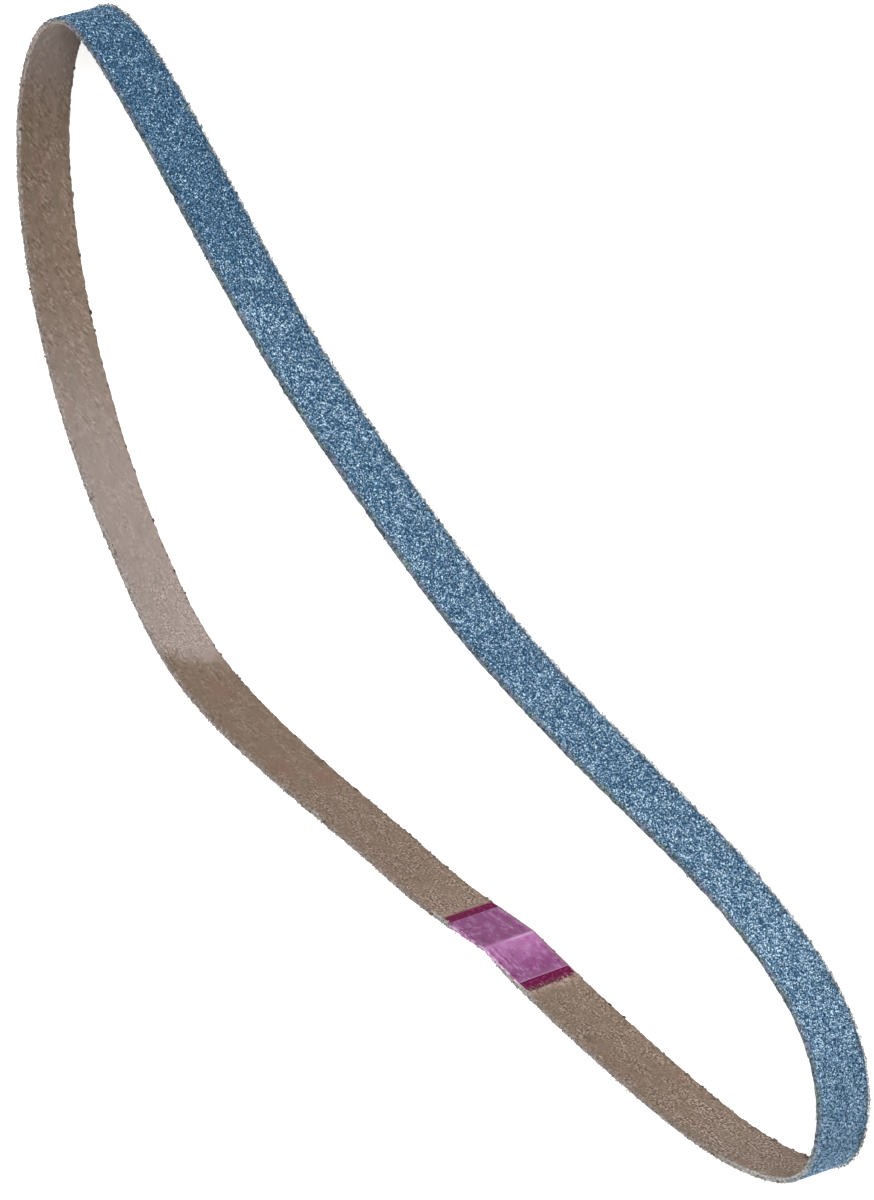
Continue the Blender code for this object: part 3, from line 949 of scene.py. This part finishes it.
class BELT_OT_burrs(bpy.types.Operator):
    """Burrs: lumps of twenty uneven faces set along both rims, and a few larger nubs"""
    bl_idname = "belt.burrs"
    bl_label = "Rim burrs"

    def execute(self, context):
        sizes, colours, path = belt()
        material = burr_material(colours)
        self.lumps(sizes, path, material)
        self.crumbs(sizes, path, material)
        return {"FINISHED"}

    def lumps(self, sizes, path, material):
        """Lumps of twenty uneven faces along the rims, most of them small, and the named nubs."""
        random = np.random.RandomState(23)
        count = sizes.burr_count
        top = random.uniform(0, 1, count) < 0.15
        inside = random.uniform(0, 1, count) < 0.65
        run = random.uniform(SLIT_MARGIN, path.length - SLIT_MARGIN, count)
        face = np.where(inside, -sizes.cloth - 0.00018, sizes.coat * 1.1)
        offset = np.where(top, random.uniform(-sizes.cloth, sizes.coat, count), face)
        height = np.where(top, BELT_WIDTH - 0.00004, random.uniform(0.0001, 0.0003, count))
        size = np.clip(random.gamma(3.0, 0.00010, (count, 1)), 0.0001, 0.0006) * np.array((1.4, 0.9, 0.8))
        tone = random.uniform(0.05, 0.5, count)
        nubs = np.array(NUBS) / 1000.0
        places = np.stack((run, height, offset))
        run, height, offset = np.concatenate((places, nubs[:, :3].T), axis=1)
        size = np.concatenate((size, nubs[:, 3:] * np.array((1.0, 0.7, 0.7))))
        tone = np.concatenate((tone, np.full(len(nubs), 0.25)))
        points, faces, s, up = scattered(path, twenty_faces(), run, offset, height, size, random)
        new_piece("rim_burrs", points, faces, material, "cloth", s, up,
                  tone=np.repeat(tone, 12), grime=zone(s, DIRTY_RIM))

    def crumbs(self, sizes, path, material):
        """Four-faced crumbs: over the top rim, and low on the outer and the inner face."""
        random = np.random.RandomState(27)
        count = sizes.crumb_count
        run = random.uniform(SLIT_MARGIN, path.length - SLIT_MARGIN, count)
        kind = random.uniform(0, 1, count)
        top, outer = kind < 0.42, kind < 0.78
        rise = random.gamma(1.5, 0.00014, count)
        tooth = ragged(run, *COAT_SKIRT) + 0.00012 * np.abs(random.normal(size=count))
        over = random.uniform(-1.25 * sizes.cloth, 1.2 * sizes.coat, count)
        offset = np.select((top, outer), (over, 1.15 * sizes.coat + tooth), -sizes.cloth - 0.00004)
        height = np.where(top, BELT_WIDTH + 0.00002 - ragged(run, *COAT_TOP_CRUMBS), 0.00004 + rise)
        size = random.uniform(0.00012, 0.00032, (count, 1)) * np.array((1.3, 1.0, 1.0))
        points, faces, s, up = scattered(path, four_faces(), run, offset, height, size, random)
        new_piece("rim_crumbs", points, faces, material, "cloth", s, up, smooth=False,
                  tone=np.repeat(random.uniform(0, 1, count), 4), grime=zone(s, DIRTY_RIM))


class BELT_OT_coat(bpy.types.Operator):
    """Resin layer under the grains: a thin section swept round, its free face uneven"""
    bl_idname = "belt.coat"
    bl_label = "Resin coat"

    step = 0.00034
    rows = (30, 4, 2)

    def execute(self, context):
        """Height: as the cloth's. Offset: the thickness times one less the depth, and noise outside.

        The layer is thinner at the joint.
        """
        sizes, colours, path = belt()
        run = strip_run(sizes, path, self.step)
        share, depth, rim = layer_ring(*self.rows)
        low = 0.00006 + ragged(run, *COAT_FOOT)
        high = BELT_WIDTH - 0.00002 - ragged(run, *COAT_TOP)
        height = low + (high - low) * share
        run = np.broadcast_to(run, height.shape)
        lift = 0.00009 * smooth_noise(run, height, 0.0004, 17) * (depth == 0.0)
        fray = 0.00005 * cut_fray(run, depth, rim, 18)
        thick = sizes.coat * (0.86 - 0.48 * zone(run, THIN_COAT))
        offset = thick * (1.0 - depth) + 0.00001 + lift
        piece = swept(
            "resin_coat", "abrasive", resin_material(colours), path, run, offset, height + fray, height,
            rim=np.broadcast_to(rim, height.shape), **rim_state(run), bloom=zone(run, GREY_BLOOM))
        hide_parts("abrasive_coat")
        return {"FINISHED"}


class BELT_OT_grains(bpy.types.Operator):
    """Grains: sharp four-faced shards, each stretched and turned at random, on a jittered grid"""
    bl_idname = "belt.grains"
    bl_label = "Grains"

    parts = 3
    inset = 0.00012

    def execute(self, context):
        """Places: a grid of running length and height, each point moved at random within its cell.

        Grains seen in the section of the coat on the upper rim are added, and all are cut into parts.
        """
        sizes, colours, path = belt()
        material = grain_material(colours)
        columns = int(path.length / sizes.grain_pitch)
        rows = int((BELT_WIDTH - 0.0003) / sizes.grain_pitch)
        random = np.random.RandomState(29)
        i, j = np.meshgrid(np.arange(columns), np.arange(rows), indexing="ij")
        run = (i + 0.5 + random.uniform(-0.5, 0.5, i.shape)) * path.length / columns
        spread = j + 0.5 + random.uniform(-0.5, 0.5, i.shape)
        height = self.inset + spread * (BELT_WIDTH - 2 * self.inset) / rows
        height = height - (spread > rows - 2) * ragged(run, *COAT_TOP_GRAINS)
        run, height = run.ravel(), height.ravel()
        clear = (run > sizes.joint_gap) & (run < path.length - sizes.joint_gap)
        run, height = run[clear], height[clear]
        offset = sizes.coat * 0.82 + random.uniform(-0.00006, 0.00006, len(run))
        tooth = ragged(run, *COAT_SKIRT) + 0.00011 * np.abs(random.normal(size=len(run)))
        offset = offset + tooth * (height < 0.0005)
        rim = np.linspace(SLIT_MARGIN, path.length - SLIT_MARGIN, sizes.rim_grains)
        run = np.concatenate((run, rim))
        offset = np.concatenate((offset, random.uniform(0.00006, sizes.coat, len(rim))))
        offset = offset * (1.0 - 0.55 * zone(run, THIN_COAT))
        height = np.concatenate((height, BELT_WIDTH - 0.00006 - ragged(rim, *COAT_TOP)))
        order = np.argsort(run)
        for part, pick in enumerate(np.array_split(order, self.parts)):
            self.crystals(sizes, path, run[pick], offset[pick], height[pick], material, part)
        return {"FINISHED"}

    def crystals(self, sizes, path, run, offset, height, material, part):
        """One piece of grains, set in the resin with a tone and a dullness of their own.

        Within reach of a rim a grain is dull where a random number is under its nearness to the rim.
        """
        random = np.random.RandomState(100 + part)
        count = len(run)
        size = sizes.grain * random.uniform(0.75, 1.35, (count, 1)) * np.ones(3)
        points, faces, s, up = scattered(path, four_faces(), run, offset, height, size, random, 0.00016)
        tone = 0.54 - 0.5 * np.cos(math.pi * random.uniform(0.0, 1.0, count))
        tone = tone + 0.03 * smooth_noise(run, height, 0.004, 31)
        # Painted light and painted shade along the run, laid into the tone.
        tone = tone + 0.08 * zone(run, PALE_GRAIN) - 0.18 * zone(run, DARK_GRAIN)
        tone = tone - 0.30 * (height > BELT_WIDTH - 0.00045)
        # Each facet's own tone: partly the grain's colour, partly painted glints, facets pale and dark as if
        # each caught the light its own way.
        tone = tone[:, None] + random.uniform(-0.35, 0.35, (count, 4))
        # Along the near run's rim, painted darker as painted shade, fewer grains turn dull.
        grime = zone(run, DIRTY_RIM)
        low = (height < BELT_WIDTH / 2) * 0.0005
        patchy = 0.0010 + 2.0 * low
        reach = 0.0002 + low + 0.0003 * (1.0 - grime)
        reach = reach + patchy * np.maximum(smooth_noise(run, height, 0.0012, 33), 0.0)
        edge = np.minimum(height, BELT_WIDTH - height) / reach
        kept = random.uniform(0.0, 0.7, count)
        kept = kept + (0.30 * grime + 0.50 * zone(run, BLUE_RIM)) * (height > BELT_WIDTH / 2)
        dull = (0.85 + 0.15 * (grime < 0.5)) * (np.clip(1.0 - edge, 0.0, 1.0) > kept)
        facet_run = np.repeat(run, 4)
        new_piece(f"grains_{part + 1}", points, faces, material, "abrasive", s, up, smooth=False,
                  tone=np.clip(tone, 0.0, 1.0), rim=np.repeat(dull, 4), **rim_state(facet_run),
                  haze=zone(facet_run, HAZY_GRAIN))


class BELT_OT_adhesive(bpy.types.Operator):
    """Adhesive layer under the film, its ends uneven where it has soaked into the cloth"""
    bl_idname = "belt.adhesive"
    bl_label = "Adhesive"

    def execute(self, context):
        """Running length: from an uneven start to an uneven end. Height: a share of the width."""
        sizes, colours, path = belt()
        share, depth, _ = layer_ring(8, 40, 1)
        along = np.linspace(0.0, 1.0, 90)[:, None]
        height = np.broadcast_to(0.0001 + share * (BELT_WIDTH - 0.0002), (len(along), len(share)))
        level = np.zeros_like(height)
        start = -0.0085 + 0.00014 * smooth_noise(height, level, 0.0008, 41)
        end = 0.0093 + 0.00028 * smooth_noise(height, level, 0.0009, 43)
        end = end + 0.00022 * smooth_noise(height, level, 0.0003, 45)
        run = start + (end - start) * along
        offset = -sizes.cloth + 0.00003 - 0.00010 * depth
        piece = swept("adhesive_layer", "adhesive", adhesive_material(colours), path, run, offset, height,
                      height, fold=0.0003)
        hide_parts("splice_adhesive")
        return {"FINISHED"}


class BELT_OT_film(bpy.types.Operator):
    """Splice film: a thin layer folded over the joint, its upper edge bent outward over the rim"""
    bl_idname = "belt.film"
    bl_label = "Splice film"

    def execute(self, context):
        """The way across the film goes up the wall, round a quarter turn of the radius, and out.

        Each point's thickness is laid square to that line, and creases make it thicker.
        """
        sizes, colours, path = belt()
        bend, radius, lip = BELT_WIDTH - 0.00004, 0.00008, 0.00080
        rows = np.concatenate((np.linspace(0.00008, bend - 0.0001, 66), np.linspace(bend, bend + lip, 9)))
        across = np.concatenate((rows, rows[::-1]))
        depth = np.repeat((0.0, 1.0), len(rows))
        run = np.linspace(-0.0070, 0.0076, 180)[:, None]
        across, depth, run = np.broadcast_arrays(across, depth, run)
        crease = strokes(run, across, CREASES)
        turn = np.clip((across - bend) / radius, 0.0, math.pi / 2)
        torn = 0.8 + 0.2 * smooth_noise(run, np.zeros_like(run), 0.0006, 53)
        torn = torn - 0.42 * np.clip((run - 0.002) / 0.002, 0, 1)
        past = np.maximum(across - bend - radius * math.pi / 2, 0.0) * torn
        thick = 0.00009 * depth + 0.00005 * np.maximum(crease, 0.0) * depth
        offset = -sizes.cloth - 0.00009 + radius * (1.0 - np.cos(turn)) + past - thick * np.cos(turn)
        height = np.minimum(across, bend) + (radius + thick) * np.sin(turn)
        piece = swept("splice_tape", "film", film_material(colours), path, run, offset, height, across,
                      fold=0.0004, crease=crease)
        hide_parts("splice_film")
        return {"FINISHED"}


# Stage

def seen_directly(tree):
    """Value that is 1 for rays from the camera, from gloss and through glass, and 0 for light."""
    rays = ("Is Camera Ray", "Is Glossy Ray", "Is Transmission Ray")
    camera, gloss, glass = (Value(tree, "LightPath", ray) for ray in rays)
    return camera.math("MAXIMUM", gloss).math("MAXIMUM", glass)


def floor_material(glow_level):
    """White floor that keeps the shadow: a diffuse white, with some glow where it is seen directly.

    Far from the belt the glow rises to white, so the floor runs into the white world unseen.
    """
    material = bpy.data.materials.new("stage_floor")
    material.use_nodes = True
    tree = material.node_tree
    tree.nodes.clear()
    place = Value(tree, "TexCoord", "Object")
    distance = Value(tree, "VectorMath", "Value", operation="LENGTH", in_0=place)
    near, far = FLOOR_FADE
    rise = Value(tree, "MapRange", in_Value=distance, in_From_Min=near, in_From_Max=far, in_To_Min=glow_level)
    glow = Value(tree, "Emission", in_Strength=seen_directly(tree) * rise)
    diffuse = Value(tree, "BsdfDiffuse", in_Color=(*FLOOR_WHITE, 1.0))
    both = Value(tree, "AddShader", in_0=diffuse, in_1=glow)
    add_node(tree, "OutputMaterial", in_Surface=both)
    return material


def white_world(level):
    """World that is white to the camera, in glass and in gloss, and lights the rest at a level."""
    world = bpy.data.worlds.new("stage_world")
    bpy.context.scene.world = world
    world.use_nodes = True
    tree = world.node_tree
    back = tree.nodes["Background"]
    back.inputs["Color"].default_value = (1.0, 1.0, 1.0, 1.0)
    strength = Value(tree, "MapRange", in_Value=seen_directly(tree), in_To_Min=level, in_To_Max=1.0)
    tree.links.new(strength.socket, back.inputs["Strength"])


def placed(name, data, side, up, away, place):
    """Object at a place, with its own x axis to the side, its y axis up and its z axis away."""
    item = bpy.data.objects.new(name, data)
    bpy.context.scene.collection.objects.link(item)
    item.matrix_world = Matrix((*np.stack((side, up, away, place), axis=-1).tolist(), (0.0, 0.0, 0.0, 1.0)))
    return item


def soft_lamp(name, place, power):
    """Square area lamp that looks at the belt's middle."""
    lamp = bpy.data.lights.new(name, "AREA")
    lamp.shape = "SQUARE"
    lamp.size = LAMP_SIDE
    lamp.energy = power
    away = np.array(place) / np.linalg.norm(place)
    side = np.cross((0.0, 0.0, 1.0), away)
    side /= np.linalg.norm(side)
    placed(name, lamp, side, np.cross(away, side), away, place)


def angle_setting(name, description, degrees):
    """An angle, given in degrees."""
    return FloatProperty(name=name, description=description, default=math.radians(degrees), subtype="ANGLE")


class StageSizes(bpy.types.PropertyGroup):
    """Camera and light of the stage."""

    elevation: angle_setting("Camera elevation", "Angle of the camera above the floor", 53.9)
    azimuth: angle_setting("Camera azimuth", "Turn of the camera round the belt from the front", -21.0)
    roll: angle_setting("Camera roll", "Turn of the picture about the line of sight", -107.79)
    aim: FloatVectorProperty(
        name="Aim point", description="Point on the floor in the middle of the picture",
        default=(0.00128, -0.00959, 0.0), subtype="TRANSLATION", unit="LENGTH")
    distance: length_setting("Camera distance", "Distance from the aim point to the camera", 3.0)
    picture_height: length_setting("Picture height", "Height that the picture spans at the aim", 0.18046)
    world_level: FloatProperty(
        name="Even light", description="Strength of the light that comes from everywhere",
        default=0.037, min=0.0)
    floor_glow: FloatProperty(
        name="Floor glow", description="Extra white of the floor where it is seen directly",
        default=0.74, min=0.0)


class BELT_OT_stage(bpy.types.Operator):
    """White floor, soft lamps and the long-lens camera that looks down on the belt"""
    bl_idname = "belt.stage"
    bl_label = "Stage"

    def execute(self, context):
        stage = context.scene.belt_stage
        self.floor(stage)
        white_world(stage.world_level)
        for name, place, power in LAMPS:
            soft_lamp(name, place, power)
        self.camera(stage)
        context.scene.view_settings.view_transform = "Standard"
        return {"FINISHED"}

    def floor(self, stage):
        """Flat square a hair under the belt: its corners are the four sign pairs of its half side."""
        signs = ((-1, -1), (1, -1), (1, 1), (-1, 1))
        points = [(FLOOR_HALF * x, FLOOR_HALF * y, FLOOR_LEVEL) for x, y in signs]
        mesh = bpy.data.meshes.new("floor")
        mesh.from_pydata(points, [], [(0, 1, 2, 3)])
        mesh.materials.append(floor_material(stage.floor_glow))
        floor = bpy.data.objects.new("floor", mesh)
        bpy.context.scene.collection.objects.link(floor)

    def camera(self, stage):
        """Camera on the line of sight through the aim point, turned about that line by the roll."""
        e, a, roll = stage.elevation, stage.azimuth, stage.roll
        away = np.array((math.sin(a) * math.cos(e), -math.cos(a) * math.cos(e), math.sin(e)))
        level = np.array((math.cos(a), math.sin(a), 0.0))
        upright = np.cross(away, level)
        right = math.cos(roll) * level + math.sin(roll) * upright
        up = -math.sin(roll) * level + math.cos(roll) * upright
        data = bpy.data.cameras.new("camera")
        data.sensor_fit = "VERTICAL"
        data.sensor_height = SENSOR_HEIGHT
        data.lens = SENSOR_HEIGHT * stage.distance / stage.picture_height
        data.clip_start = 0.1
        data.clip_end = 60.0
        place = np.array(stage.aim) + away * stage.distance
        bpy.context.scene.camera = placed("camera", data, right, up, away, place)


class BELT_PT_panel(bpy.types.Panel):
    """Sidebar panel with the belt's sizes, colours and pieces"""
    bl_idname = "BELT_PT_panel"
    bl_label = "Sanding Belt"
    bl_space_type = "VIEW_3D"
    bl_region_type = "UI"
    bl_category = "Sanding Belt"

    def draw(self, context):
        scene = context.scene
        for group in (scene.belt_sizes, scene.belt_colours, scene.belt_stage):
            box = self.layout.box()
            for name in group.__annotations__:
                box.prop(group, name)
        for operator in STEPS:
            self.layout.operator(operator.bl_idname)


STEPS = (BELT_OT_cloth, BELT_OT_threads, BELT_OT_coat, BELT_OT_grains, BELT_OT_burrs, BELT_OT_adhesive,
         BELT_OT_film, BELT_OT_stage)
CLASSES = (BeltSizes, BeltColours, StageSizes, *STEPS, BELT_PT_panel)


def register():
    """Registers the classes and hangs the settings on the scene."""
    for item in CLASSES:
        bpy.utils.register_class(item)
    bpy.types.Scene.belt_sizes = PointerProperty(type=BeltSizes)
    bpy.types.Scene.belt_colours = PointerProperty(type=BeltColours)
    bpy.types.Scene.belt_stage = PointerProperty(type=StageSizes)


def unregister():
    """Takes the settings and the classes away again."""
    del bpy.types.Scene.belt_stage
    del bpy.types.Scene.belt_colours
    del bpy.types.Scene.belt_sizes
    for item in reversed(CLASSES):
        bpy.utils.unregister_class(item)


def main():
    """Builds every piece and the stage."""
    register()
    bpy.ops.belt.cloth()
    bpy.ops.belt.threads()
    bpy.ops.belt.coat()
    bpy.ops.belt.grains()
    bpy.ops.belt.burrs()
    bpy.ops.belt.adhesive()
    bpy.ops.belt.film()
    bpy.ops.belt.stage()


if __name__ == "__main__":
    main()
